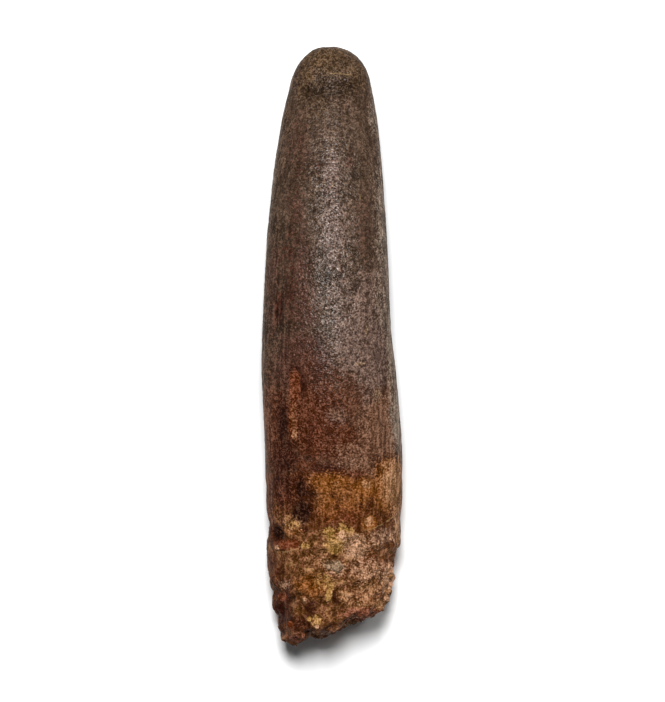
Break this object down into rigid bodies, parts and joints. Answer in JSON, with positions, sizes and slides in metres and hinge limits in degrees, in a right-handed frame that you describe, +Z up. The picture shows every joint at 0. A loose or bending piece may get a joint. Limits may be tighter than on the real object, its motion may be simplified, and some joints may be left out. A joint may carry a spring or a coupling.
{
  "type": "fossil titanosaur tooth",
  "caption": "Slender peg-shaped fossil sauropod tooth with worn tip, brown enamel crown and short broken root crusted with sandstone, lying on its hollow side.",
  "frame": {"origin": "under the middle of the tooth's length and width, on the surface it rests on", "axes": "+Y from the broken root to the tip, +Z up out of the bulging side, +X across the tooth"},
  "size_m": [0.0094, 0.04, 0.0078],
  "materials": {
    "fossil": "mineralised enamel and dentine with a dull gloss, and rough cemented sandstone at the root"
  },
  "bodies": {
    "root": {"tooth": "fossil"}
  },
  "joints": []
}
